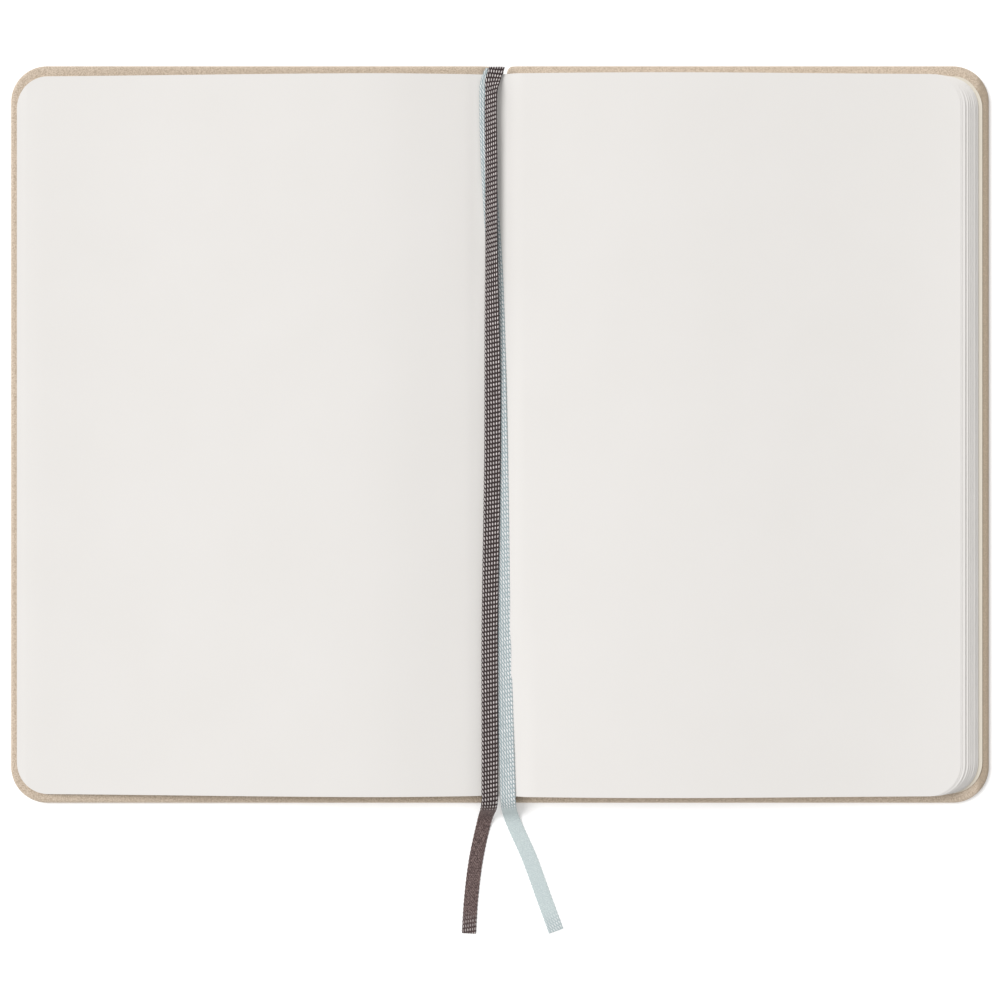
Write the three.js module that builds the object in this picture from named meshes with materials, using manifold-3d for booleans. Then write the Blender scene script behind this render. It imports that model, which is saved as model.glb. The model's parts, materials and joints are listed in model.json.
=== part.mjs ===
// A hard-cover sketchbook lying open near its front, in millimetres.
// +X runs from the spine to the back cover, +Y to the head of the book, +Z up.
// The origin is the middle of the spine's underside, on the table.
// The case is two covers and a spine, joined by two hinge lines along Y. The sewn sections lie
// fanned on the back cover, and the first section is open at its middle.
import * as THREE from 'three';
import { mergeVertices } from 'three/addons/utils/BufferGeometryUtils.js';
import Module from 'manifold-3d';

const wasm = await Module();
wasm.setup();

// ---- driving dimensions ----

const caseHalfWidth = 139.4;
const caseHeight = 210;
const caseCornerRadius = 10.3;
const hingeX = 4.4; // each cover turns about a line this far from the middle of the spine
const arcSegments = 10;

const skinThickness = 0.35;
const boardThickness = 1.5;
const turnInThickness = 0.3; // the skin folded over onto the inside of the board
const turnInWidth = 13;
const pastedownThickness = 0.12;
const layerGap = 0.04; // clearance between pieces that lie on each other
const skinHingeGap = 0.35; // from the hinge line to a cover's skin, and to the spine's
const boardHingeGap = 1;
const pastedownInset = 3; // the strip of turned-in skin that stays visible

const spineHeight = 205.6; // the skin is tucked in over the spine's ends, so it is shorter than the covers
const spineStripThickness = 0.6;
const spineStripHalfWidth = 3.4;
const spineLiningThickness = 0.1;
const spineLiningHalfWidth = 3.8;

const leafWidth = 133.5;
const leafHeight = 204;
const leafCornerRadius = 9;
const leafThickness = 0.18;
const sectionThickness = 0.7; // two sheets folded to four leaves
const sectionPitch = 0.72;
const sectionCount = 8;
const textBlockY = -0.2; // the text block sits a little towards the tail
const firstRightFoldX = -2.2;
const backFoldX = 4.7;
const leftFoldX = -3.7;
const leftFoldBottom = 6.7;
const leftLeafCount = 2;

const threadSize = 0.25;
const threadLength = 166;
const threadGap = 0.08; // from the thread to the fold that it holds

const ribbonWidth = 4.6;
const ribbonThickness = 0.32;
const tableLift = 0.05; // from the table to a ribbon's underside
const stepsBetweenPoints = 3;

// ---- materials ----

function material(color, roughness) {
  return new THREE.MeshStandardMaterial({ color, roughness, metalness: 0 });
}

const leatherette = material(0xcdb9a5, 0.75);
const greyBoard = material(0x9c958c, 0.95);
const paper = material(0xede9e3, 0.9);
const endpaper = material(0xe9e4dc, 0.9);
const lining = material(0xd8d4cb, 0.95);
const thread = material(0xe6e2d8, 0.8);
const brownRibbon = material(0x665957, 0.7);
const blueRibbon = material(0xc3d0d2, 0.6);

// ---- solids ----

function solidOf(geometry) {
  geometry.deleteAttribute('normal');
  geometry.deleteAttribute('uv');
  const merged = mergeVertices(geometry, 1e-4);
  return new wasm.Manifold(new wasm.Mesh({
    numProp: 3,
    vertProperties: new Float32Array(merged.attributes.position.array),
    triVerts: new Uint32Array(merged.index.array),
  }));
}

function geometryOf(solid) {
  const { vertProperties, triVerts } = solid.getMesh();
  const geometry = new THREE.BufferGeometry();
  geometry.setAttribute('position', new THREE.BufferAttribute(vertProperties, 3));
  geometry.setIndex(new THREE.BufferAttribute(triVerts, 1));
  geometry.computeVertexNormals();
  return geometry;
}

// An outline in plan, raised from bottom to top.
function plate(outline, bottom, top) {
  const geometry = new THREE.ExtrudeGeometry(outline, {
    depth: top - bottom,
    bevelEnabled: false,
    curveSegments: arcSegments,
  });
  return geometry.translate(0, 0, bottom);
}

// A section drawn in X and Z, drawn out to a length along Y about the middle.
function bar(section, length) {
  const geometry = new THREE.ExtrudeGeometry(section, {
    depth: length,
    bevelEnabled: false,
    curveSegments: arcSegments,
  });
  return geometry.rotateX(Math.PI / 2).translate(0, length / 2, 0);
}

function block(x0, x1, length, bottom, top) {
  return new THREE.BoxGeometry(x1 - x0, length, top - bottom)
    .translate((x0 + x1) / 2, 0, (bottom + top) / 2);
}

// A sheet from a straight edge at x0 to a far edge at x1 whose two corners are round.
function sheetOutline(x0, x1, height, radius) {
  const half = height / 2;
  const outline = new THREE.Shape();
  outline.moveTo(x0, -half);
  outline.lineTo(x1 - radius, -half);
  outline.absarc(x1 - radius, -half + radius, radius, -Math.PI / 2, 0);
  outline.lineTo(x1, half - radius);
  outline.absarc(x1 - radius, half - radius, radius, 0, Math.PI / 2);
  outline.lineTo(x0, half);
  outline.closePath();
  return outline;
}

// A cover's outline, drawn in by an inset on its three outer sides.
function coverOutline(x0, inset) {
  const radius = Math.max(caseCornerRadius - inset, 1);
  return sheetOutline(x0, caseHalfWidth - inset, caseHeight - 2 * inset, radius);
}

// ---- the case: board, skin with its turn-ins, and pastedown ----

const boardBottom = skinThickness + layerGap;
const boardTop = boardBottom + boardThickness;
const turnInBottom = boardTop + layerGap;
const turnInTop = turnInBottom + turnInThickness;
const pastedownBottom = turnInTop + layerGap;
const pastedownTop = pastedownBottom + pastedownThickness;
const beyond = 5; // how far a cutting solid runs past what it cuts

function coverBoard() {
  const outline = coverOutline(hingeX + boardHingeGap, skinThickness + layerGap);
  return plate(outline, boardBottom, boardTop);
}

// The skin wraps the board's outside and three edges, and is turned in on its inside.
function coverSkin() {
  const start = hingeX + skinHingeGap;
  const whole = solidOf(plate(coverOutline(start, 0), 0, turnInTop));
  const pocket = solidOf(plate(coverOutline(start - beyond, skinThickness), skinThickness, turnInBottom));
  const window = solidOf(
    plate(coverOutline(start - beyond, turnInWidth), turnInBottom - layerGap, turnInTop + beyond));
  return geometryOf(whole.subtract(pocket).subtract(window));
}

function pastedown() {
  return plate(coverOutline(hingeX + skinHingeGap, pastedownInset), pastedownBottom, pastedownTop);
}

// ---- leaves and sections ----

function leaf(bottom) {
  const outline = sheetOutline(0, leafWidth, leafHeight, leafCornerRadius);
  return plate(outline, bottom, bottom + leafThickness);
}

// A folded section: flat, with a round fold at x = 0 and round corners at the fore-edge.
function section() {
  const r = sectionThickness / 2;
  const side = new THREE.Shape();
  side.moveTo(leafWidth + beyond, 0);
  side.lineTo(leafWidth + beyond, sectionThickness);
  side.lineTo(r, sectionThickness);
  side.absarc(r, r, r, Math.PI / 2, 3 * Math.PI / 2);
  side.closePath();
  const plan = sheetOutline(-beyond, leafWidth, leafHeight, leafCornerRadius);
  const folded = solidOf(bar(side, leafHeight + beyond));
  return geometryOf(folded.intersect(solidOf(plate(plan, -beyond, beyond))));
}

function sewingThread(bottom) {
  const right = -threadGap;
  return block(right - threadSize, right, threadLength, bottom, bottom + threadSize);
}

// ---- ribbon markers ----

// The outline of a band of one width along a smooth line through points.
function bandOutline(points, width) {
  const line = new THREE.CatmullRomCurve3(points.map(([a, b]) => new THREE.Vector3(a, b, 0)));
  const samples = stepsBetweenPoints * (points.length - 1);
  const sides = [[], []];
  for (let i = 0; i <= samples; i++) {
    const at = line.getPoint(i / samples);
    const along = line.getTangent(i / samples);
    const across = new THREE.Vector2(-along.y, along.x).multiplyScalar(width / 2);
    sides[0].push(at.clone().add(across));
    sides[1].unshift(at.clone().sub(across));
  }
  return new THREE.Shape([...sides[0], ...sides[1]]);
}

// A ribbon is where its plan, seen from above, meets its height, seen from the side.
function ribbon(plan, heights) {
  const seenFromAbove = plate(bandOutline(plan, ribbonWidth), -beyond, 4 * beyond);
  const reach = 10 * ribbonWidth;
  const seenFromSide = new THREE.ExtrudeGeometry(
    bandOutline(heights, ribbonThickness), { depth: reach, bevelEnabled: false });
  const acrossAxes = new THREE.Matrix4().makeBasis(
    new THREE.Vector3(0, 1, 0), new THREE.Vector3(0, 0, 1), new THREE.Vector3(1, 0, 0));
  seenFromSide.applyMatrix4(acrossAxes).translate(-reach / 2, 0, 0);
  return geometryOf(solidOf(seenFromAbove).intersect(solidOf(seenFromSide)));
}

const onTable = tableLift + ribbonThickness / 2;

// Plan points are [x, y] from the head to the cut end, and height points are [y, z] from the end
// that is glued behind the folds, over the head and along the gutter to the table.
const bluePlan = [
  [-0.8, 105], [-1.9, 103], [-3.4, 99.5], [-3.7, 95], [-3.2, 75], [-1.3, 44], [-0.1, 1], [1, -56], [2.1, -97],
  [2.4, -105], [3.2, -109], [8.4, -121], [12.4, -132], [16, -141.8],
];
const blueHeights = [
  [86, 5.8], [96, 5.8], [101.2, 5.8], [102.9, 6.4], [103.3, 7.3], [102.9, 8.15], [101.6, 8.46],
  [98, 8.36], [60, 8.36], [0, 8.36], [-60, 8.36], [-98, 8.36], [-103.3, 8.26], [-105.2, 7],
  [-106.6, 4.5], [-108, 2.1], [-109.9, 0.75], [-113, onTable], [-120, onTable], [-131, onTable],
  [-146, onTable],
];
const brownPlan = [
  [-0.4, 105], [-1.3, 102.5], [-2.4, 98], [-2.5, 75], [-2.4, 47], [-2.1, 1], [-2.9, -56],
  [-2.9, -97], [-3.1, -105], [-4.4, -110], [-6.9, -121.5], [-8.3, -133], [-8.9, -142.5],
];
const brownHeights = [
  [86, 5], [96, 5], [101.8, 5], [103.45, 5.9], [103.8, 7.3], [103.45, 8.5], [102.2, 8.94], [98, 8.86],
  [60, 8.86], [0, 8.86], [-60, 8.86], [-98, 8.86], [-103.8, 8.76], [-105.8, 7.3], [-107.3, 4.7],
  [-108.8, 2.2], [-110.6, 0.8], [-114, onTable], [-121, onTable], [-132, onTable], [-146, onTable],
];

// ---- assembly ----

function add(parent, name, geometry, finish) {
  const mesh = new THREE.Mesh(geometry, finish);
  mesh.name = name;
  parent.add(mesh);
  return mesh;
}

function cover(side) {
  const half = new THREE.Group();
  add(half, `${side}_board`, coverBoard(), greyBoard);
  add(half, `${side}_cover_skin`, coverSkin(), leatherette);
  add(half, `${side}_pastedown`, pastedown(), endpaper);
  return half;
}

function spine() {
  const whole = new THREE.Group();
  const skinHalfWidth = hingeX - skinHingeGap;
  const stripBottom = skinThickness + layerGap;
  const stripTop = stripBottom + spineStripThickness;
  const liningBottom = stripTop + layerGap;
  const stripLength = spineHeight - 2 * skinThickness;
  add(whole, 'spine_skin', block(-skinHalfWidth, skinHalfWidth, spineHeight, 0, skinThickness), leatherette);
  add(whole, 'spine_strip',
    block(-spineStripHalfWidth, spineStripHalfWidth, stripLength, stripBottom, stripTop), greyBoard);
  add(whole, 'spine_lining',
    block(-spineLiningHalfWidth, spineLiningHalfWidth, leafHeight - 2 * beyond, liningBottom,
      liningBottom + spineLiningThickness), lining);
  return whole;
}

// The sections lie on the back flyleaf, and each fold is a little left of the one below it.
function textBlock() {
  const pages = new THREE.Group();
  pages.position.y = textBlockY;
  const flyleafBottom = pastedownTop + layerGap;
  add(pages, 'back_flyleaf', leaf(flyleafBottom), endpaper).position.x = backFoldX;
  const stackBottom = flyleafBottom + leafThickness + layerGap;
  const steps = sectionCount - 1;
  const step = (firstRightFoldX - backFoldX) / steps;
  for (let i = 0; i < steps; i++) {
    const number = sectionCount - i;
    const folded = new THREE.Group();
    folded.position.set(backFoldX + step * i, 0, stackBottom + sectionPitch * i);
    add(folded, `section_${number}`, section(), paper);
    add(folded, `sewing_thread_${number}`, sewingThread((sectionThickness - threadSize) / 2), thread);
    pages.add(folded);
  }
  const opened = new THREE.Group();
  opened.position.set(firstRightFoldX, 0, stackBottom + sectionPitch * steps);
  const leafPitch = leafThickness + (sectionPitch - sectionThickness);
  add(opened, 'first_section_right_leaf', leaf(0), paper);
  add(opened, 'turning_leaf', leaf(leafPitch), paper);
  add(opened, 'sewing_thread_1', sewingThread(0), thread);
  pages.add(opened);
  return pages;
}

// The left leaves slope from the fold down to the front cover.
function leftLeaves() {
  const leaves = new THREE.Group();
  const drop = leftFoldBottom - pastedownTop - layerGap;
  leaves.position.set(leftFoldX, textBlockY, leftFoldBottom);
  leaves.rotation.set(0, -Math.asin(drop / leafWidth), Math.PI);
  const leafGap = sectionPitch - sectionThickness;
  const leavesBottom = leafThickness + leafGap;
  const outline = sheetOutline(0, leafWidth, leafHeight, leafCornerRadius);
  add(leaves, 'front_flyleaf', leaf(0), endpaper);
  add(leaves, 'first_section_left_leaves',
    plate(outline, leavesBottom, leavesBottom + leftLeafCount * leafThickness), paper);
  return leaves;
}

const sketchbook = new THREE.Group();
const backCover = cover('back');
const frontCover = cover('front');
frontCover.rotation.z = Math.PI;
sketchbook.add(backCover, frontCover, spine(), textBlock(), leftLeaves());
add(sketchbook, 'ribbon_blue', ribbon(bluePlan, blueHeights), blueRibbon);
add(sketchbook, 'ribbon_brown', ribbon(brownPlan, brownHeights), brownRibbon);

export default sketchbook;
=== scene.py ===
# %% [markdown]
# # A sketchbook lying open, with two ribbon markers
# The book's boards, spine and sections come from a imported frame of simple solids. This script gives
# them their looks: a wrapped leatherette case with soft edges, real single leaves that arch out of
# the gutter, and two woven ribbons. The frame's bodies turn and slide when the book closes, so the
# leaves, folds and ribbons are tied to the bodies that they belong to; the two case halves are not.

# %% Load the frame
import json
import math
import random
from collections import Counter

import bpy
import numpy as np
from mathutils import Matrix, Vector


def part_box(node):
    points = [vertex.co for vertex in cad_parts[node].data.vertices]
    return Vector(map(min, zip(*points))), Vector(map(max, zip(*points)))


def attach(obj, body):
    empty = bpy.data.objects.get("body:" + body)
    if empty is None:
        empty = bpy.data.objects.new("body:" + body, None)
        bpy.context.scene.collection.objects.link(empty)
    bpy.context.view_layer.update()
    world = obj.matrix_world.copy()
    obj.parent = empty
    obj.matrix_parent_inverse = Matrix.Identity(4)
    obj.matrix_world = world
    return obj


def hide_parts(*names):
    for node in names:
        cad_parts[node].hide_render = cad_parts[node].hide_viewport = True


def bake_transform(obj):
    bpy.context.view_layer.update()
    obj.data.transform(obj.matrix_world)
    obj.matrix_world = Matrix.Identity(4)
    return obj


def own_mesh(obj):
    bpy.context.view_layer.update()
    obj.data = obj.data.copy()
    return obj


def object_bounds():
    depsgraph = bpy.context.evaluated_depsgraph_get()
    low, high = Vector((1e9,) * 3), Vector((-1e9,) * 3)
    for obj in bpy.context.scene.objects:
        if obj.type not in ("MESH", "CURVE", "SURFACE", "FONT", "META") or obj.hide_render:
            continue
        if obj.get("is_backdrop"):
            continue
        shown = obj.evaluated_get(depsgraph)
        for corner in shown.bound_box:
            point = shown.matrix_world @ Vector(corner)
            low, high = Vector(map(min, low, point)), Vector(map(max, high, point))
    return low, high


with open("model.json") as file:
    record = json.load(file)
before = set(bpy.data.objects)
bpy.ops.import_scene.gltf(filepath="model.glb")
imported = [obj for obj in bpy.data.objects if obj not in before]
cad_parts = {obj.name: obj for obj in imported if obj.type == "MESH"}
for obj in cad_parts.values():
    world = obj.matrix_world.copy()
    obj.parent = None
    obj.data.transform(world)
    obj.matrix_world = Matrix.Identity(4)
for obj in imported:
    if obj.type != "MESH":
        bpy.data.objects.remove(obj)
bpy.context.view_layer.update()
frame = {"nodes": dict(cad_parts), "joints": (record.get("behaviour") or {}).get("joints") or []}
mm = 0.001

# %% [markdown]
# ## Camera and light
# The open book is seen from straight above, like a page on a copy stand. The lens is long, so that
# the pages stay nearly square, and the frame is shifted a little so that the ribbon tails fit in
# below. A wide soft lamp, high on the upper left, models the swell of the pages, and a white
# surround keeps the shadows open. A sun lamp is used for it, because its light is even over the
# whole spread, and its width sets how soft the shadows are.

# %% Camera and lamps
camera_height = 700 * mm
camera_y = -1 * mm
frame_width = 285.7 * mm
table_level = -0.05 * mm
surround = 0.52
lamp_power = 2.0
lamp_width = math.radians(32)
lamp_direction = Vector((-0.62, 0.36, 1.0))


def add_camera():
    data = bpy.data.cameras.new("camera")
    data.lens = data.sensor_width * camera_height / frame_width
    data.shift_y = -0.062
    camera = bpy.data.objects.new("camera", data)
    camera.location = (0, camera_y, camera_height)
    bpy.context.scene.collection.objects.link(camera)
    bpy.context.scene.camera = camera


def add_lamp():
    data = bpy.data.lights.new("soft_lamp", "SUN")
    data.energy = lamp_power
    data.angle = lamp_width
    lamp = bpy.data.objects.new("soft_lamp", data)
    lamp.rotation_euler = lamp_direction.to_track_quat("Z", "Y").to_euler()
    bpy.context.scene.collection.objects.link(lamp)


def add_surround():
    world = bpy.data.worlds.new("studio")
    world.use_nodes = True
    world.node_tree.nodes["Background"].inputs["Color"].default_value = (1, 1, 1, 1)
    world.node_tree.nodes["Background"].inputs["Strength"].default_value = surround
    bpy.context.scene.world = world


add_camera()
add_surround()
add_lamp()
bpy.context.scene.view_settings.view_transform = "Standard"
print("camera", camera_height, "m above the table")

# %% [markdown]
# ## Shader maths in plain Python
# A material is a graph of nodes. Wrapping a socket in a small class lets the graph be written as
# ordinary sums: `1 - mask` adds a Math node and wires it. Everything that isn't plain arithmetic
# comes from one method, `node`, which sets a node's settings and then its sockets.


# %% A socket that understands arithmetic
def srgb(*levels):
    """A colour written as levels from 0 to 255, as the linear numbers that a shader takes."""
    linear = []
    for level in levels:
        c = level / 255
        linear.append(c / 12.92 if c <= 0.04045 else ((c + 0.055) / 1.055) ** 2.4)
    return (*linear, 1)


class Wire:
    def __init__(self, finish, socket):
        self.finish = finish
        self.socket = socket

    def math(self, operation, *values):
        return self.finish.node("ShaderNodeMath", {"operation": operation}, dict(enumerate(values)))

    def __add__(self, other):
        return self.math("ADD", self, other)

    def __sub__(self, other):
        return self.math("SUBTRACT", self, other)

    def __rsub__(self, other):
        return self.math("SUBTRACT", other, self)

    def __mul__(self, other):
        return self.math("MULTIPLY", self, other)

    def __truediv__(self, other):
        return self.math("DIVIDE", self, other)

    def __pow__(self, other):
        return self.math("POWER", self, other)

    __radd__ = __add__
    __rmul__ = __mul__

    def clamp(self):
        return self.math("MINIMUM", self.math("MAXIMUM", self, 0.0), 1.0)

    def floor(self):
        return self.math("FLOOR", self)

    def fract(self):
        return self.math("FRACT", self)

    def odd(self):
        return self.math("MODULO", self, 2.0)

    def wave(self):
        return self.math("COSINE", self)


class Finish:
    """A material under construction, with its Principled shader at hand."""

    def __init__(self, name):
        self.material = bpy.data.materials.new(name)
        self.material.use_nodes = True
        self.tree = self.material.node_tree
        self.shader = self.tree.nodes["Principled BSDF"]

    def node(self, kind, settings=None, sockets=None, output=0):
        made = self.tree.nodes.new(kind)
        for key, value in (settings or {}).items():
            setattr(made, key, value)
        for key, value in (sockets or {}).items():
            self.feed(made.inputs[key], value)
        return Wire(self, made.outputs[output])

    def feed(self, socket, value):
        if isinstance(value, Wire):
            self.tree.links.new(value.socket, socket)
        else:
            socket.default_value = value

    def set(self, **values):
        for key, value in values.items():
            self.feed(self.shader.inputs[key.replace("_", " ")], value)
        return self.material

    def place(self, output="Object"):
        return self.node("ShaderNodeTexCoord", output=output)

    def noise(self, scale, detail=2.0, vector=None):
        sockets = {"Vector": vector or self.place(), "Scale": scale, "Detail": detail}
        return self.node("ShaderNodeTexNoise", sockets=sockets)

    def stretched(self, scale):
        return self.node("ShaderNodeMapping", sockets={"Vector": self.place(), "Scale": scale})

    def blend(self, share, first, second):
        sockets = {0: share, 6: first, 7: second}
        return self.node("ShaderNodeMix", {"data_type": "RGBA"}, sockets, output=2)

    def bump(self, height, distance, strength=1.0):
        sockets = {"Height": height, "Distance": distance, "Strength": strength}
        return self.node("ShaderNodeBump", sockets=sockets)


print("shader maths ready")

# %% [markdown]
# ## Paper
# Drawing paper is a matt felt of fibres. At reading distance it looks flat, so its character is in
# two faint things: a cloudiness a few centimetres wide, and a tooth about half a millimetre wide
# that only shows where light grazes it.


# %% Paper, board and cloth finishes
cloud_scale = 45.0
fleck_scale = 2200.0
tooth_scale = 1400.0
fibre_scale = 900.0


def paper_finish(name, light, shade, tooth):
    finish = Finish(name)
    cloud = finish.noise(cloud_scale, 3.0)
    fleck = finish.noise(fleck_scale, 2.0)
    share = (cloud * 0.7 + fleck * 0.3).clamp()
    rough = 0.82 + fleck * 0.12
    grain = finish.noise(tooth_scale, 4.0)
    return finish.set(
        Base_Color=finish.blend(share, shade, light),
        Roughness=rough,
        Specular_IOR_Level=0.25,
        Normal=finish.bump(grain, tooth),
    )


def board_finish(name):
    finish = Finish(name)
    fibre = finish.noise(fibre_scale, 5.0, finish.stretched((1.0, 3.0, 1.0)))
    return finish.set(
        Base_Color=finish.blend(fibre, srgb(120, 114, 106), srgb(168, 161, 150)),
        Roughness=0.95,
        Normal=finish.bump(fibre, 0.08 * mm),
    )


def woven_cloth_finish(name, dark, light, pitch):
    """An open plain weave: two crossed sets of round threads."""
    finish = Finish(name)
    axes = finish.node("ShaderNodeSeparateXYZ", sockets={0: finish.place()})
    across = Wire(finish, axes.socket.node.outputs["X"])
    along = Wire(finish, axes.socket.node.outputs["Y"])
    turns = 2 * math.pi / pitch
    weft = (across * turns).wave()
    warp = (along * turns).wave()
    height = (weft * warp) * 0.5 + 0.5
    return finish.set(
        Base_Color=finish.blend(height, dark, light),
        Roughness=0.9,
        Normal=finish.bump(height, 0.06 * mm),
    )


page_paper = paper_finish("page_paper", srgb(234, 231, 228), srgb(229, 226, 222), 0.012 * mm)
end_paper = paper_finish("end_paper", srgb(228, 221, 207), srgb(221, 213, 198), 0.016 * mm)
grey_board = board_finish("grey_board")
mull = woven_cloth_finish("mull", srgb(196, 190, 178), srgb(232, 228, 219), 0.9 * mm)
linen_thread = woven_cloth_finish("linen_thread", srgb(205, 200, 188), srgb(238, 234, 226), 0.3 * mm)
print("paper, board and cloth finishes made")

# %% [markdown]
# ## Leatherette
# The case is covered in a thin coated cloth. Its print is a fine pebble grain, less than half a
# millimetre across, over a slightly mottled tan. A Voronoi pattern gives the pebbles, and a slower
# noise lets the colour drift from rosy beige to khaki. A ramp across the cover paints shade on the
# back cover's fore-edge rim, as a darker tan than the rest.


# %% Leatherette finish
pebble_scale = 2800.0
speckle_scale = 4200.0
drift_scale = 30.0
painted_shade_from = 135.6 * mm  # how far out the painted shade on the back cover's fore-edge starts
painted_shade_over = 1.2 * mm


def leatherette_finish():
    finish = Finish("tan_leatherette")
    pebble = finish.node(
        "ShaderNodeTexVoronoi",
        {"feature": "SMOOTH_F1"},
        {"Vector": finish.place(), "Scale": pebble_scale, "Smoothness": 0.5},
    )
    speckle = finish.noise(speckle_scale, 3.0)
    drift = finish.noise(drift_scale, 3.0)
    base = finish.blend(drift, srgb(219, 204, 184), srgb(229, 211, 194))
    axes = finish.node("ShaderNodeSeparateXYZ", sockets={0: finish.place()})
    # Painted shade: a ramp across x blends the back cover's fore-edge rim into a darker tan.
    painted_shade_ramp = ((axes - painted_shade_from) / painted_shade_over).clamp()
    base = finish.blend(painted_shade_ramp, base, srgb(159, 145, 127))
    pores = ((pebble - 0.28) * 1.2 + (speckle - 0.5) * 1.8 + 0.3).clamp()
    colour = finish.blend(pores, base, srgb(182, 164, 143))
    height = 1 - pebble + speckle * 0.5
    return finish.set(
        Base_Color=colour,
        Roughness=0.55 + speckle * 0.25,
        Specular_IOR_Level=0.4,
        Normal=finish.bump(height, 0.07 * mm, 0.9),
    )


leatherette = leatherette_finish()
print("leatherette finish made")

# %% [markdown]
# ## Tools for modelling by hand
# Each shape below starts as a primitive and is cut, bevelled and inset in edit mode. Operators act
# on the selection, so two helpers come first: one starts from a clean selection, and one selects
# the corners, edges or faces that pass a test of where they are.


# %% Selection, cutting and naming
def deselect():
    if bpy.context.mode != "OBJECT":
        bpy.ops.object.mode_set(mode="OBJECT")
    bpy.ops.object.select_all(action="DESELECT")


def start(operator, name, **settings):
    """A new primitive, alone in the selection, with its scale set into its mesh later."""
    deselect()
    operator(**settings)
    piece = bpy.context.object
    piece.name = name
    piece.data.name = name
    return piece


def settle(piece):
    """Puts the object's place, turn and scale into its mesh."""
    deselect()
    piece.select_set(True)
    bpy.context.view_layer.objects.active = piece
    bpy.ops.object.transform_apply(location=True, rotation=True, scale=True)


def pick(piece, kind, test):
    """Goes to edit mode with only the parts selected that pass the test."""
    if bpy.context.mode != "OBJECT":
        bpy.ops.object.mode_set(mode="OBJECT")
    bpy.context.view_layer.objects.active = piece
    mesh = piece.data
    for parts in (mesh.vertices, mesh.edges, mesh.polygons):
        parts.foreach_set("select", [False] * len(parts))
    chosen = {"VERT": mesh.vertices, "EDGE": mesh.edges, "FACE": mesh.polygons}[kind]
    flags = [bool(test(part)) for part in chosen]
    chosen.foreach_set("select", flags)
    bpy.context.tool_settings.mesh_select_mode = [kind == k for k in ("VERT", "EDGE", "FACE")]
    bpy.ops.object.mode_set(mode="EDIT")
    return sum(flags)


def ends(piece, edge):
    return [piece.data.vertices[i].co for i in edge.vertices]


def slice_at(piece, places, direction):
    """Cuts the mesh across at each place along a direction, without removing anything."""
    pick(piece, "VERT", lambda v: True)
    for place in places:
        bpy.ops.mesh.select_all(action="SELECT")
        bpy.ops.mesh.bisect(plane_co=Vector(direction) * place, plane_no=direction, threshold=1e-7)
    bpy.ops.object.mode_set(mode="OBJECT")


def reshape(piece, move):
    """Moves each corner of the mesh to where a function says."""
    for vertex in piece.data.vertices:
        vertex.co = move(vertex.co.copy())
    piece.data.update()


def modify(piece, kind, **settings):
    """Adds a modifier and applies it."""
    deselect()
    bpy.context.view_layer.objects.active = piece
    added = piece.modifiers.new(kind.lower(), kind)
    for key, value in settings.items():
        setattr(added, key, value)
    bpy.ops.object.modifier_apply(modifier=added.name)


def copy_of(piece, name):
    made = piece.copy()
    made.data = piece.data.copy()
    made.name = name
    made.data.name = name
    bpy.context.scene.collection.objects.link(made)
    return made


def dress(piece, material, body=None, replaced=()):
    """Gives a piece its material and ties it to the frame."""
    piece.data.materials.clear()
    piece.data.materials.append(material)
    if body:
        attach(piece, body)
    if replaced:
        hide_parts(*replaced)


def smooth(piece, degrees):
    deselect()
    piece.select_set(True)
    bpy.context.view_layer.objects.active = piece
    bpy.ops.object.shade_smooth_by_angle(angle=math.radians(degrees))


print("modelling tools ready")

# %% [markdown]
# ## The ribbon markers
# A marker ribbon is a narrow flat braid, glued behind the folds and led over the head of the book,
# down the gutter and out at the tail. Its route is a short list of points: a plan seen from above,
# and heights seen from the side. A finely divided grid is laid along that route, so the grid's own
# map still says where the weave goes, and then it gets its thickness.

# %% The ribbons' routes
ribbon_width = 4.6 * mm
ribbon_thickness = 0.32 * mm
on_table = 0.21

blue_plan = [
    (-0.8, 105), (-1.9, 103), (-3.4, 99.5), (-3.7, 95), (-3.2, 75), (-1.3, 44), (-0.1, 1), (1, -56),
    (2.1, -97), (2.4, -105), (3.2, -109), (8.4, -121), (12.4, -132), (16, -141.8),
]
blue_heights = [
    (86, 5.8), (96, 5.8), (101.2, 5.8), (102.9, 6.4), (103.3, 7.3), (102.9, 8.15), (101.6, 8.46),
    (98, 8.36), (60, 8.36), (0, 8.36), (-60, 8.36), (-98, 8.36), (-103.3, 8.26), (-105.2, 7),
    (-106.6, 4.5), (-108, 2.1), (-109.9, 0.75), (-113, on_table), (-120, on_table),
    (-131, on_table), (-141.8, on_table),
]
brown_plan = [
    (-0.4, 105), (-1.3, 102.5), (-2.4, 98), (-2.5, 75), (-2.4, 47), (-2.1, 1), (-2.9, -56),
    (-2.9, -97), (-3.1, -105), (-4.4, -110), (-6.9, -121.5), (-8.3, -133), (-8.9, -142.5),
]
brown_heights = [
    (86, 5), (96, 5), (101.8, 5), (103.45, 5.9), (103.8, 7.3), (103.45, 8.5), (102.2, 8.94),
    (98, 8.86), (60, 8.86), (0, 8.86), (-60, 8.86), (-98, 8.86), (-103.8, 8.76), (-105.8, 7.3),
    (-107.3, 4.7), (-108.8, 2.2), (-110.6, 0.8), (-114, on_table), (-121, on_table),
    (-132, on_table), (-142.5, on_table),
]


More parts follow.
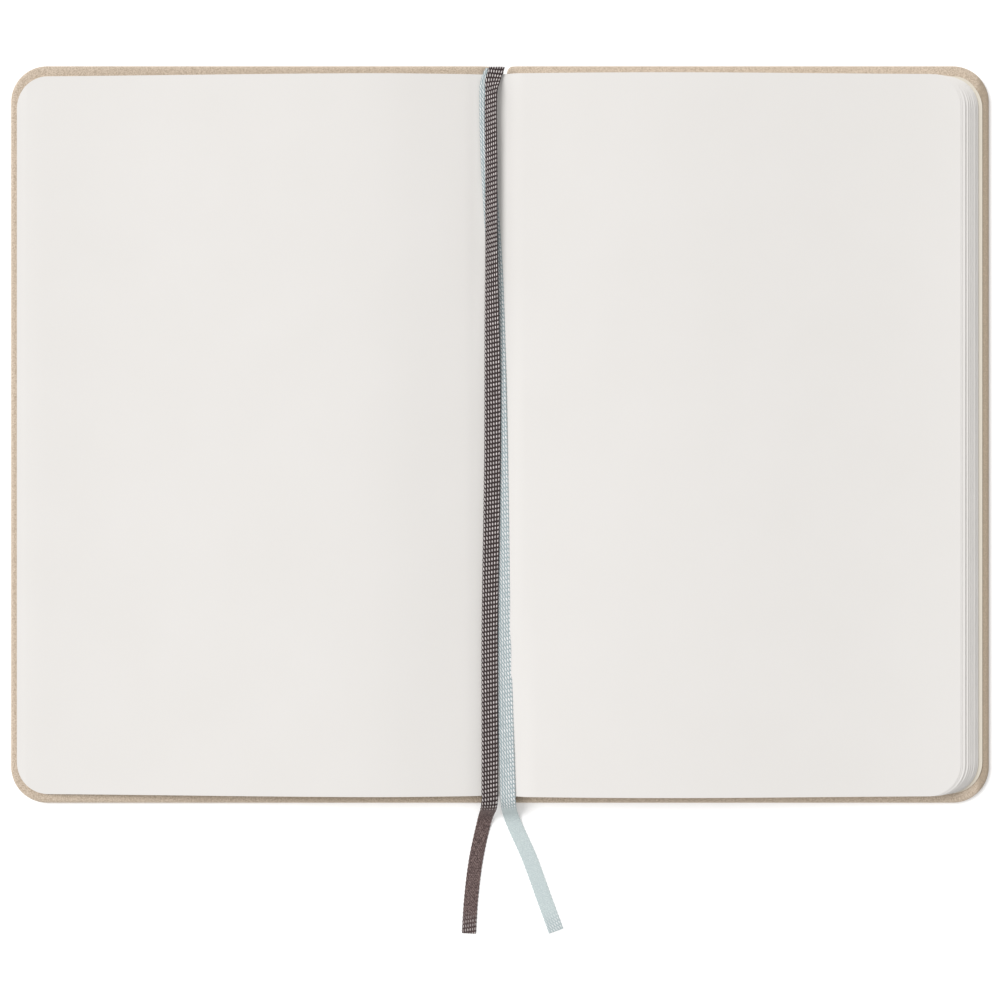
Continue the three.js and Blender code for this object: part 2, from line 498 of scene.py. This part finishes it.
def smooth_line(points, steps):
    """Points on a centripetal Catmull-Rom curve, which doesn't loop where points are unevenly spaced."""
    p = [np.array(q, float) for q in points]
    p = [2 * p[0] - p[1], *p, 2 * p[-1] - p[-2]]
    line = []
    for a, b, c, d in zip(p, p[1:], p[2:], p[3:]):
        t1 = np.linalg.norm(b - a) ** 0.5
        t2 = t1 + np.linalg.norm(c - b) ** 0.5
        t3 = t2 + np.linalg.norm(d - c) ** 0.5
        for t in np.linspace(t1, t2, steps, endpoint=False):
            ab = a + (b - a) * t / t1
            bc = b + (c - b) * (t - t1) / (t2 - t1)
            cd = c + (d - c) * (t - t2) / (t3 - t2)
            abc = ab + (bc - ab) * t / t2
            bcd = bc + (cd - bc) * (t - t1) / (t3 - t1)
            line.append(abc + (bcd - abc) * (t - t1) / (t2 - t1))
    line.append(p[-2])
    return np.array(line)


def spaced(line, count):
    """The same line with its points evenly spaced, and its length."""
    gaps = np.linalg.norm(np.diff(line, axis=0), axis=1)
    reached = np.concatenate([[0], np.cumsum(gaps)])
    wanted = np.linspace(0, reached[-1], count)
    return np.stack([np.interp(wanted, reached, axis) for axis in line.T], axis=1), reached[-1]


def ribbon_route(plan, heights, count):
    """The ribbon's middle line in metres, from the glued end to the cut end."""
    side = smooth_line(heights, 12)
    top = smooth_line(plan, 12)
    x = np.interp(-side[:, 0], -top[:, 1], top[:, 0])
    line = np.stack([x, side[:, 0], side[:, 1]], axis=1)
    return spaced(line * mm, count)


def ease(share):
    """0 to 1, with a level start and a level end."""
    share = min(max(share, 0.0), 1.0)
    return share * share * (3 - 2 * share)


print("routes of the blue and brown ribbons set")

# %% [markdown]
# ## Weave
# The braid is woven in six ribs. Each rib is a column of pale slanted floats on a darker ground, and
# each column starts a little higher than the one on its left. Past the book's tail the ribbon shows
# its quieter back, a fine diagonal twill. The pattern reads the ribbon's own map, so it follows
# every bend, and the same pattern gives the colour and the relief.

# %% The woven finish
ribs = 6
stitch_length = 1.23 * mm
column_step = 0.12  # how far each column of stitches starts above its left neighbour
stitch_lean = 0.2  # how much more each column's stitches lean than those on its left
twill_pitch = 0.8 * mm
hair_scale = 5200.0
patch_scale = 700.0  # stitches vary in brightness over about a millimetre
speck_scale = 2400.0
turn_over_rate = 90.0  # how sharply the face gives way to the back
end_from = 0.975  # the share of the length where the face shows faintly again
end_rate = 60.0


def ribbon_finish(name, length, back_from, stitch_size, slant, ground, deep, stitch, back, back_deep):
    """back_from is the share of the length where the face gives way to the back."""
    half_width, half_length = stitch_size
    finish = Finish(name)
    axes = finish.node("ShaderNodeSeparateXYZ", sockets={0: finish.place("UV")})
    across = Wire(finish, axes.socket.node.outputs["X"])
    share = Wire(finish, axes.socket.node.outputs["Y"])
    rib = across * float(ribs)
    column = rib.floor()
    along = share * (length / stitch_length)
    u = rib.fract() - 0.5
    v = (along - column * column_step).fract() - 0.5
    lean = slant - (column - 2.5) * stitch_lean
    floats = (1 - (u / half_width) ** 2.0 - ((v - u * lean) / half_length) ** 2.0).clamp()
    hairs = finish.noise(hair_scale, 3.0)
    twill = (share * (length / twill_pitch) + across * (ribbon_width / twill_pitch))
    twill = (twill * (2 * math.pi)).wave() * 0.5 + 0.5
    uneven = finish.noise(patch_scale, 2.0)
    speck = finish.noise(speck_scale, 1.0)
    gone_over = ((share - back_from) * turn_over_rate).clamp()
    near_end = ((share - end_from) * end_rate).clamp()
    face = 1 - gone_over * (1 - near_end * 0.6)
    grooves = ((u * (2 * math.pi)).wave() * -0.5 + 0.5) * 0.5
    cloth = finish.blend((hairs * 0.5 + grooves * 0.5 + 0.15).clamp(), deep, ground)
    crest = ((floats * 1.8).clamp() * (uneven * 1.2 + hairs * 0.5 - 0.1)).clamp()
    front = finish.blend(crest, cloth, stitch)
    rear = finish.blend((twill * 0.4 + speck * 2.2 - 1.0).clamp(), back_deep, back)
    height = (floats * 0.8 + hairs * 0.2) * face + twill * 0.35 * (1 - face)
    return finish.set(
        Base_Color=finish.blend(face, rear, front),
        Roughness=0.74 - floats * 0.25,
        Specular_IOR_Level=0.35,
        Normal=finish.bump(height, 0.16 * mm),
    )


stations = 660
tail_edge = 104.5 * mm  # the ribbons turn over where they leave the pages at the tail


def lay_ribbon(name, plan, heights, roll, lift, width, colours, node):
    """A grid laid along the route. roll, lift and width say how it lies at each y, in mm."""
    line, length = ribbon_route(plan, heights, stations + 1)
    on_face = np.arange(stations + 1) > np.argmax(line[:, 2])
    line[:, 2] += [lift(y / mm) * mm * over for y, over in zip(line[:, 1], on_face)]
    piece = start(
        bpy.ops.mesh.primitive_grid_add, name, x_subdivisions=14, y_subdivisions=stations, size=1
    )
    along = np.gradient(line, axis=0)
    along /= np.linalg.norm(along, axis=1)[:, None]
    across = np.array([-1.0, 0.0, 0.0]) + along * along[:, :1]
    across /= np.linalg.norm(across, axis=1)[:, None]
    up = np.cross(across, along)
    stitches = length / stitch_length

    def lay(corner):
        share = corner.y + 0.5
        i = min(int(round(share * stations)), stations)
        y = line[i][1] / mm
        turn = math.radians(roll(y)) if on_face[i] else 0.0
        side = across[i] * math.cos(turn) + up[i] * math.sin(turn)
        top = up[i] * math.cos(turn) - across[i] * math.sin(turn)
        edge = abs(corner.x) * 2
        scallop = 1 + 0.035 * edge**6 * math.cos(2 * math.pi * share * stitches)
        ribbing = 0.03 * mm * math.cos(2 * math.pi * corner.x * ribs)
        crown = -0.06 * mm * edge**4
        return Vector(line[i] + side * corner.x * width(y) * mm * scallop + top * (ribbing + crown))

    reshape(piece, lay)
    modify(piece, "SOLIDIFY", thickness=ribbon_thickness, offset=0, use_even_offset=False)
    modify(piece, "BEVEL", width=0.08 * mm, segments=2, limit_method="ANGLE", angle_limit=math.radians(60))
    smooth(piece, 50)
    width(0) * mm
    back_from = np.argmax(line[:, 1] + tail_edge < 0) / stations
    dress(piece, ribbon_finish(name + "_weave", length, back_from, *colours), "first_section", [node])
    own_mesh(piece)
    print(name, "is", round(length / mm), "mm long")
    return piece


# %% [markdown]
# ## How the ribbons lie
# Near the head the brown ribbon rests its left edge on the blue one and its right edge stands up, so
# it looks narrower there and shades the valley on its right. It turns flat further down, and is a
# little narrower in its free tail, where nothing spreads it. The blue one keeps its width.

# %% Two ribbons


steep_roll = -34  # degrees, at the head
slight_roll = -4  # degrees, in the rest of the gutter
blue_steep_roll = -9
head_y = 102
head_lift = 0.8
full_width = 4.6
head_narrowing = 0.35
tail_narrowing = 0.6


def brown_roll(y):
    return (steep_roll * ease(y / 60) + slight_roll * ease((y + 95) / 20)) * ease((head_y - y) / 6)


def brown_lift(y):
    return head_lift * ease(y / 60) * ease((head_y - y) / 6)


def brown_width(y):
    return full_width - head_narrowing * ease(y / 60) - tail_narrowing * ease((-104 - y) / 8)


def blue_roll(y):
    return blue_steep_roll * ease((y - 20) / 60)


def blue_width(y):
    return 4.25


brown = lay_ribbon(
    "brown_marker", brown_plan, brown_heights, brown_roll, brown_lift, brown_width,
    ((0.3, 0.36), -0.25, srgb(62, 47, 47), srgb(31, 23, 23), srgb(238, 229, 227),
     srgb(152, 131, 126), srgb(66, 50, 50)), "ribbon_brown",
)
blue = lay_ribbon(
    "blue_marker", blue_plan, blue_heights, blue_roll, lambda y: 0.0, blue_width,
    ((0.45, 0.43), -0.9, srgb(178, 193, 196), srgb(134, 151, 155), srgb(255, 255, 255),
     srgb(214, 225, 224), srgb(196, 208, 209)), "ribbon_blue",
)
blue_line = ribbon_route(blue_plan, blue_heights, 200)[0]
blue_line = blue_line[np.argmax(blue_line[:, 2]):]

# %% [markdown]
# ## The case
# The cover cloth is one skin over both boards and the spine. It is modelled one half at a time: a
# block the size of a cover, its fore-edge corners rounded, its inside opened, its rims softened,
# and then given the thickness of the cloth. Towards the spine the board ends, so the block is
# pressed thinner there and a shallow groove marks the hinge. The other half is the same shape
# turned round.

# %% One half of the wrapped case
cover_half_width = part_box("back_cover_skin")[1].x
cover_half_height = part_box("back_cover_skin")[1].y
cover_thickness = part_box("back_cover_skin")[1].z
hinge_x = frame["joints"][0]["pos_m"][0]
case_corner_radius = 10.3 * mm
rim_radius = 0.95 * mm
corner_steps = 44
skin_thickness = 0.35 * mm
turn_in_steps = [1.3 * mm, 1.2 * mm, 2.2 * mm, 4.2 * mm]
spine_share = 0.66  # the case's height over the spine, as a share of a cover's
pleat_count = 9
pleat_depth = 0.2 * mm
spine_tuck = 2.2 * mm  # how much shorter the case is over the spine, at each end
tuck_radius = 1.6 * mm  # the covers' round corners beside the spine
tuck_from = 3.6 * mm


def is_rim(piece, edge):
    """On the outer top or bottom edge of the block, but not along the spine."""
    a, b = ends(piece, edge)
    level = abs(a.z - b.z) < 1e-7 and (a.z < 1e-7 or a.z > cover_thickness - 1e-7)
    return level and is_outer(a) and is_outer(b)


def is_outer(point):
    """On the outline of a cover: a straight side or a round corner."""
    corner = Vector((cover_half_width - case_corner_radius, cover_half_height - case_corner_radius))
    x, y = point.x - corner.x, abs(point.y) - corner.y
    if x > 0 and y > 0:
        return abs(math.hypot(x, y) - case_corner_radius) < 0.05 * mm
    return x > case_corner_radius - 0.05 * mm or y > case_corner_radius - 0.05 * mm


def pleats(point):
    """How far the cloth sinks between the folds that gather it round a corner."""
    x = point.x - (cover_half_width - case_corner_radius)
    y = abs(point.y) - (cover_half_height - case_corner_radius)
    if x < 0 or y < 0 or point.z < cover_thickness / 2:
        return 0.0
    turn = math.atan2(y, x) / (math.pi / 2)
    across = math.hypot(x, y) / case_corner_radius
    fold = abs(math.sin(math.pi * pleat_count * turn)) ** 0.5
    uneven = 0.7 + 0.3 * math.sin(7 * turn + (2 if point.y < 0 else 0))
    return pleat_depth * (1 - fold) * uneven * ease((across - 0.2) / 0.3) * ease((1.02 - across) / 0.1)


def case_half():
    piece = start(bpy.ops.mesh.primitive_cube_add, "case_back", size=1)
    piece.scale = (cover_half_width, 2 * cover_half_height, cover_thickness)
    piece.location = (cover_half_width / 2, 0, cover_thickness / 2)
    settle(piece)
    pick(piece, "EDGE", lambda e: all(c.x > cover_half_width - 1e-6 for c in ends(piece, e))
         and abs(ends(piece, e)[0].y - ends(piece, e)[1].y) < 1e-6)
    bpy.ops.mesh.bevel(offset=case_corner_radius, segments=corner_steps, affect="EDGES")
    pick(piece, "FACE", lambda f: f.normal.x < -0.9)
    bpy.ops.mesh.delete(type="FACE")
    pick(piece, "FACE", lambda f: f.normal.z > 0.9)
    for step in turn_in_steps:
        bpy.ops.mesh.inset(thickness=step, use_boundary=False)
    bpy.ops.mesh.delete(type="FACE")
    pick(piece, "EDGE", lambda e: is_rim(piece, e))
    bpy.ops.mesh.bevel(offset=rim_radius, segments=5, affect="EDGES")
    round_the_tuck = [tuck_from - tuck_radius * math.sin(math.radians(a)) for a in range(0, 91, 15)]
    near_hinge = [hinge_x + step * mm for step in (-0.35, 0, 0.35, 0.7, 1.1, 1.6, 2.4)]
    slice_at(piece, round_the_tuck + near_hinge, (1, 0, 0))
    slice_at(piece, np.arange(20, 130, 10) * mm, (1, 0, 0))
    slice_at(piece, np.arange(-90, 91, 10) * mm, (0, 1, 0))
    return piece


def tuck(point):
    """How far the ends of the case are drawn in over the spine, with a round corner at each cover."""
    inside = min(max((tuck_from - point.x) / tuck_radius, 0.0), 1.0)
    near_end = ease((abs(point.y) - cover_half_height + 16 * mm) / (10 * mm))
    return math.copysign(spine_tuck * (1 - math.sqrt(1 - inside * inside)) * near_end, point.y)


def press(point):
    """Presses the block down over the spine, raises the hinge groove and sinks the pleats."""
    share = spine_share + (1 - spine_share) * ease((point.x - hinge_x + 0.8 * mm) / (2.2 * mm))
    groove = 0.28 * mm * math.exp(-(((point.x - hinge_x) / (0.8 * mm)) ** 2))
    z = point.z * share + groove * (1 - point.z / cover_thickness) - pleats(point)
    return Vector((point.x, point.y - tuck(point), z))


case_back = case_half()
reshape(case_back, press)
modify(case_back, "SOLIDIFY", thickness=skin_thickness, offset=-1, use_even_offset=True)
smooth(case_back, 40)
case_front = copy_of(case_back, "case_front")
case_front.data.transform(Matrix.Rotation(math.pi, 4, "Z"))
dress(case_back, leatherette, replaced=["back_cover_skin"])
dress(case_front, leatherette, replaced=["front_cover_skin", "spine_skin"])
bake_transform(case_back)
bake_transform(case_front)
print("case halves:", len(case_back.data.polygons), "faces each")

# %% [markdown]
# ## Leaves
# Every page is a real leaf: a plane with two round corners, cut into strips so that it can bend.
# One leaf is modelled, and all the others are copies with their own meshes. Leaves near the open
# page arch out of the gutter, most at the top and less further down.

# %% One flat leaf
leaf_low, leaf_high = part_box("turning_leaf")
leaf_width = leaf_high.x - leaf_low.x
leaf_half_height = (leaf_high.y - leaf_low.y) / 2
block_y = (leaf_high.y + leaf_low.y) / 2  # the text block sits a little towards the tail
leaf_corner_radius = 9 * mm
leaf_thickness = 0.15 * mm
strip_count = 26


def master_leaf():
    piece = start(bpy.ops.mesh.primitive_plane_add, "leaf", size=1)
    piece.scale = (leaf_width, 2 * leaf_half_height, 1)
    piece.location = (leaf_width / 2, 0, 0)
    settle(piece)
    pick(piece, "VERT", lambda v: v.co.x > leaf_width / 2)
    bpy.ops.mesh.bevel(offset=leaf_corner_radius, segments=12, affect="VERTICES")
    strips = [leaf_width * (i / strip_count) ** 1.6 for i in range(1, strip_count)]
    slice_at(piece, strips, (1, 0, 0))
    slice_at(piece, [leaf_width - roll * mm for roll in (1, 2, 3)], (1, 0, 0))
    slice_at(piece, np.arange(-90, 91, 15) * mm, (0, 1, 0))
    reshape(piece, lambda point: point + Vector((0, block_y, 0)))
    smooth(piece, 40)
    faces_on = Counter(key for face in piece.data.polygons for key in face.edge_keys)
    pick(piece, "EDGE", lambda e: faces_on[e.key] == 1)
    bpy.ops.mesh.mark_sharp()
    bpy.ops.object.mode_set(mode="OBJECT")
    return piece


leaf_pattern = master_leaf()
print("leaf pattern:", len(leaf_pattern.data.polygons), "faces")

# %% [markdown]
# ## Arching the leaves
# Beside the ribbons a page comes up steeply out of the valley, eases to a crest about a third of
# the way out, and then sinks slowly to the fore-edge. The height is measured from the leaf's flat
# place, so pressing it to that plane gives the closed book. The steep start stays just clear of the
# blue ribbon, all the way down.

# %% The arch, and a leaf laid in place
top_arch = 3.3 * mm
right_lip = 0.34  # how much of the height the steep start takes
left_lip = 0.1
lip_width = 1.7 * mm
valley_edge = 1.3 * mm
head_valley = 0.7 * mm  # how much further out the valley reaches at the head
ribbon_clearance = 0.15 * mm


def arch(distance, start_at, crest_at, full, lip_share):
    """The share of the full height at a distance from the fold."""
    if distance <= start_at:
        return 0.0
    lip = lip_share * ease((distance - start_at) / lip_width)
    if distance < crest_at:
        return lip + (1 - lip_share) * (1 - (1 - (distance - start_at) / (crest_at - start_at)) ** 2)
    return 1 - ease((distance - crest_at) / (full - crest_at))


def valley_side(y):
    """Where the right page starts to rise, beside the blue ribbon."""
    ribbon_x = np.interp(-y, -blue_line[:, 1], blue_line[:, 0])
    open_to = valley_edge + head_valley * ease((y - 70 * mm) / (30 * mm))
    return max(open_to, ribbon_x + blue_width(y) / 2 * mm + ribbon_clearance)


def thicken(piece):
    """A live Solidify, so that a leaf keeps its thickness when it is pressed flat."""
    added = piece.modifiers.new("thickness", "SOLIDIFY")
    added.thickness = leaf_thickness
    added.offset = 0


def right_leaf(name, body, fold_x, level, height, fore_edge, material=None, replaced=()):
    piece = copy_of(leaf_pattern, name)
    stretch = (fore_edge - fold_x) / leaf_width
    wave = random.uniform(0, 2 * math.pi)

    def lay(point):
        x = point.x * stretch
        rise = height * arch(x, valley_side(point.y) - fold_x, 50 * mm, leaf_width * stretch, right_lip)
        drift = 0.015 * mm * math.sin(point.y * 40 + wave)
        return Vector((x + fold_x, point.y, level + rise + drift * min(rise / mm, 1)))

    reshape(piece, lay)
    thicken(piece)
    dress(piece, material or page_paper, body, replaced)
    if height > 0:
        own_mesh(piece)
    return piece


print("leaves ready to lay")

# %% [markdown]
# ## The sections on the right
# Each section is two folded sheets, so four leaves and two nested folds. The sections step to the
# right towards the back of the book, quickly near the top and less lower down, which is what shows
# at the fore-edge as a run of fine lines.

# %% Sections, each with four leaves and its folds
random.seed(8)
fold_radii = [0.27 * mm, 0.09 * mm]
fold_depth = 1.3 * mm
section_count = 8
open_edge = 130.15 * mm  # the open page's fore-edge
edge_spread = 5.85 * mm  # how much further the last section reaches


def fold_strip(name, body, fold_x, middle, radius):
    """The folded back of a sheet: a narrow strip wrapped round half a circle."""
    half = math.pi * radius / 2
    piece = start(bpy.ops.mesh.primitive_grid_add, name, x_subdivisions=16, y_subdivisions=8, size=1)
    reach = half + fold_depth

    def wrap(corner):
        s = corner.x * 2 * reach
        y = corner.y * 2 * leaf_half_height + block_y
        x, z = abs(s) - half, math.copysign(radius, s)
        if abs(s) < half:
            x, z = -radius * math.cos(s / radius), radius * math.sin(s / radius)
        return Vector((fold_x + radius + x, y, middle + z))

    reshape(piece, wrap)
    modify(piece, "SOLIDIFY", thickness=leaf_thickness, offset=0)
    smooth(piece, 60)
    dress(piece, page_paper, body)


def arch_below_top(order):
    """The arch of the leaf that lies so many leaves below the open page."""
    return top_arch * max(0.0, 1 - order / 14) ** 1.4


def section_edge(number):
    """Where a section's leaves end at the fore-edge."""
    return open_edge + edge_spread * ((number - 1) / (section_count - 1)) ** 0.7


order = 2
for number in range(2, section_count + 1):
    low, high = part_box(f"section_{number}")
    middle = (low.z + high.z) / 2
    body = "back_cover" if number == section_count else f"section_{number}"
    for radius, kind in zip(fold_radii, ("outer", "inner")):
        fold_strip(f"section_{number}_{kind}_fold", body, low.x, middle, radius)
    levels = [fold_radii[0], fold_radii[1], -fold_radii[1], -fold_radii[0]]
    for i, offset in enumerate(levels):
        right_leaf(
            f"section_{number}_leaf_{i + 1}", body, low.x, middle + offset, arch_below_top(order),
            section_edge(number) + random.uniform(-0.08, 0.06) * mm - offset * 0.5,
            replaced=[f"section_{number}"] if i == 0 else (),
        )
        order += 1
low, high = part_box("first_section_right_leaf")
right_leaf("first_right_leaf", "first_section", low.x, (low.z + high.z) / 2, arch_below_top(1),
           open_edge + 0.5 * mm, replaced=["first_section_right_leaf"])
low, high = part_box("turning_leaf")
right_leaf("open_leaf", "turning_leaf", low.x, (low.z + high.z) / 2, arch_below_top(0), open_edge,
           replaced=["turning_leaf"])
low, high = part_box("back_flyleaf")
right_leaf("rear_flyleaf", "back_cover", low.x, (low.z + high.z) / 2, 0, high.x - 0.9 * mm,
           end_paper, ["back_flyleaf"])
print("right-hand leaves laid:", order + 1)

# %% [markdown]
# ## The leaves on the left
# Two leaves of the first section and the flyleaf lie on the front cover. Their flat place slopes
# from the fold down to the board, so their arch rises along the slope's own normal. They arch like
# the right-hand leaves, and roll down a little at the fore-edge.

# %% Left-hand leaves on their slope
left_low, left_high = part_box("first_section_left_leaves")
fly_low, fly_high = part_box("front_flyleaf")
slope = math.asin((fly_high.z - fly_low.z - 0.18 * mm) / leaf_width)
left_fold_x = fly_high.x
slope_normal = Vector((-math.sin(slope), 0, math.cos(slope)))
slope_down = Vector((-math.cos(slope), 0, -math.sin(slope)))
fly_root = Vector((left_fold_x, 0, fly_high.z - 0.18 * mm))
left_arch = 3.1 * mm
left_rise_from = 2.6 * mm
edge_roll = 0.35 * mm


def left_leaf(name, lift, height, reach, material, replaced=()):
    """A leaf whose plane is the slope, lifted by a little above the one below."""
    piece = copy_of(leaf_pattern, name)
    root = fly_root + slope_normal * lift

    def lay(point):
        rise = height * arch(point.x, left_rise_from, 38 * mm, leaf_width, left_lip)
        inset = (leaf_width - point.x) / (4 * mm)
        roll = edge_roll * ease(inset) * ease((point.x - 10 * mm) / (20 * mm))
        along = point.x + reach * (point.x / leaf_width)
        return root + slope_down * along + slope_normal * (rise + roll) + Vector((0, point.y, 0))

    reshape(piece, lay)
    bpy.context.view_layer.objects.active = piece
    pick(piece, "FACE", lambda f: True)
    bpy.ops.mesh.flip_normals()
    bpy.ops.object.mode_set(mode="OBJECT")
    thicken(piece)
    dress(piece, material, "left_leaves", replaced)
    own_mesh(piece)


left_leaf("left_flyleaf", 0.09 * mm, left_arch * 0.94, -0.1 * mm, end_paper, ["front_flyleaf"])
left_leaf("left_leaf_2", 0.29 * mm, left_arch * 0.97, 0.1 * mm, page_paper)
left_leaf("left_leaf_1", 0.47 * mm, left_arch, 0.3 * mm, page_paper, ["first_section_left_leaves"])
print("slope of the left leaves:", round(math.degrees(slope), 2), "degrees")

# %% [markdown]
# ## The frame's own pieces
# The boards, pastedowns, spine strip, lining and sewing threads keep their own shape, and only
# need their finish.

# %% Finishes for the frame's pieces
bpy.data.objects.remove(leaf_pattern)
kept = {
    "front_board": grey_board, "back_board": grey_board, "spine_strip": grey_board,
    "front_pastedown": end_paper, "back_pastedown": end_paper, "spine_lining": mull,
}
kept.update({f"sewing_thread_{number}": linen_thread for number in range(1, 9)})
for name, material in kept.items():
    node = frame["nodes"][name]
    node.data.materials.clear()
    node.data.materials.append(material)
print("finished", len(kept), "of the frame's pieces")

# %% [markdown]
# ## The table
# A plain white table carries the book. It glows a little, which keeps the shadows on it light. It
# isn't part of the object.


# %% Table
def add_table():
    finish = Finish("table_white")
    finish.set(
        Base_Color=(0.97, 0.97, 0.97, 1), Roughness=0.9, Specular_IOR_Level=0.1,
        Emission_Color=(1, 1, 1, 1), Emission_Strength=0.2,
    )
    table = start(bpy.ops.mesh.primitive_plane_add, "table", size=6)
    table.location = (0, 0, table_level)
    settle(table)
    table.data.materials.append(finish.material)
    table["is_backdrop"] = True


add_table()

# %% Sizes, for comparing with the frame
low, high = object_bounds()
print("visual size", [round((b - a) / mm, 1) for a, b in zip(low, high)])
